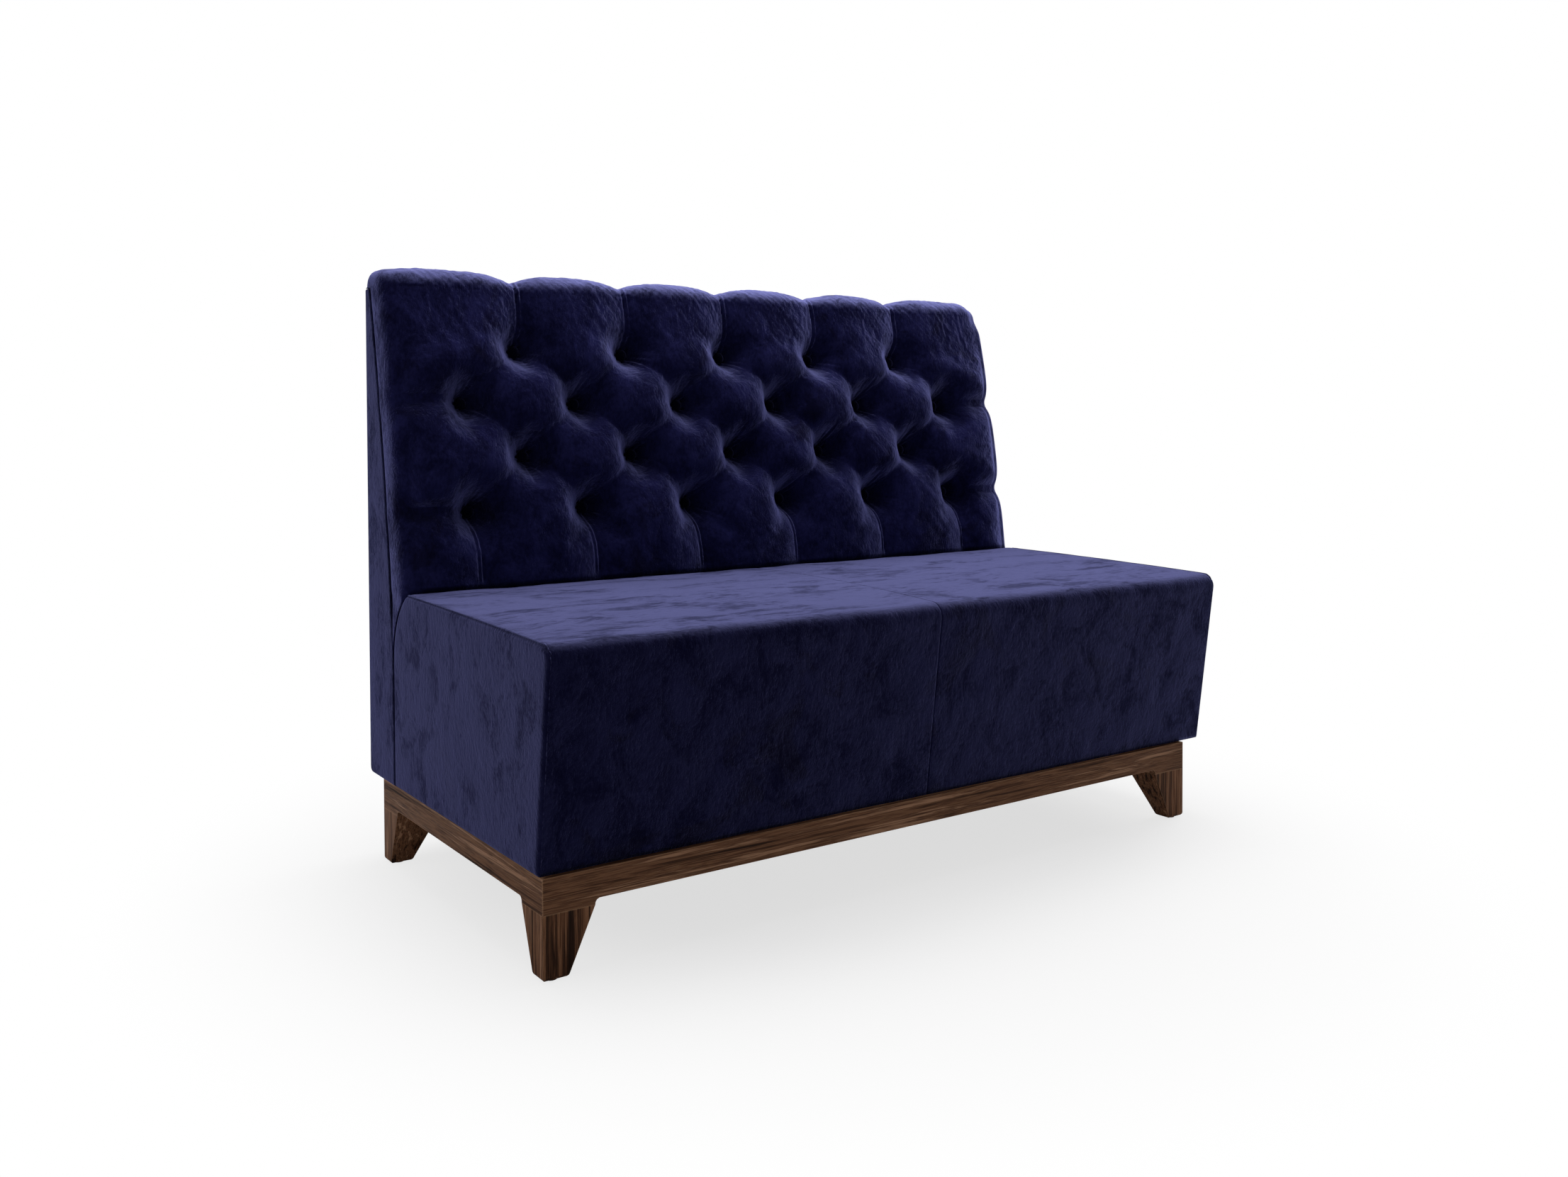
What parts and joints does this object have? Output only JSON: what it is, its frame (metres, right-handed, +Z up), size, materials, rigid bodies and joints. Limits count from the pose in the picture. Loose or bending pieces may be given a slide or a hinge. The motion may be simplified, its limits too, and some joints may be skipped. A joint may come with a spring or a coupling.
{
  "type": "upholstered banquette",
  "caption": "Upholstered banquette bench with a deep-buttoned, rolled-top back, a boxed seat and a walnut base on tapered legs.",
  "frame": {"origin": "on the floor, under the middle of the bench's bounding box", "axes": "+X along the bench towards its right end as seen from the front, +Y from the front to the rear, +Z up"},
  "size_m": [1.3, 0.684, 0.962],
  "materials": {
    "walnut": "satin lacquer",
    "velvet": "short-pile velvet",
    "button_velvet": "short-pile velvet",
    "foam": "matt",
    "dust_cloth": "matt",
    "glide_nylon": "matt",
    "hardboard": "matt",
    "beech": "matt",
    "plywood": "matt",
    "zinc_steel": "zinc plated"
  },
  "bodies": {
    "root": {"back_board": "plywood", "back_bolt_rail": "beech", "back_bolts": "zinc_steel", "back_foot_rail": "beech", "back_left_rib": "plywood", "back_nuts": "zinc_steel", "back_pad": "velvet", "back_rear_board": "hardboard", "back_rib_1": "plywood", "back_rib_2": "plywood", "back_rib_3": "plywood", "back_rib_4": "plywood", "back_right_rib": "plywood", "back_top_rail": "beech", "base_block_front_left": "beech", "base_block_front_right": "beech", "base_block_rear_left": "beech", "base_block_rear_right": "beech", "base_rail_front": "walnut", "base_rail_left": "walnut", "base_rail_middle": "beech", "base_rail_rear": "walnut", "base_rail_right": "walnut", "base_screws": "zinc_steel", "block_screws": "zinc_steel", "deck_screws": "zinc_steel", "dust_cover": "dust_cloth", "leg_bolts": "zinc_steel", "leg_front_left": "walnut", "leg_front_right": "walnut", "leg_glides": "glide_nylon", "leg_nuts": "zinc_steel", "leg_rear_left": "walnut", "leg_rear_right": "walnut", "leg_washers": "zinc_steel", "seat_cover_left": "velvet", "seat_cover_right": "velvet", "seat_deck": "plywood", "seat_foam": "foam", "seat_front_board": "plywood", "seat_left_board": "plywood", "seat_rear_board": "plywood", "seat_rib_1": "plywood", "seat_rib_2": "plywood", "seat_rib_3": "plywood", "seat_rib_4": "plywood", "seat_right_board": "plywood", "seat_side_left": "velvet", "seat_side_right": "velvet", "shell_rear_panel": "velvet", "shell_side_left": "velvet", "shell_side_right": "velvet", "tuft_buttons": "button_velvet"}
  },
  "joints": []
}
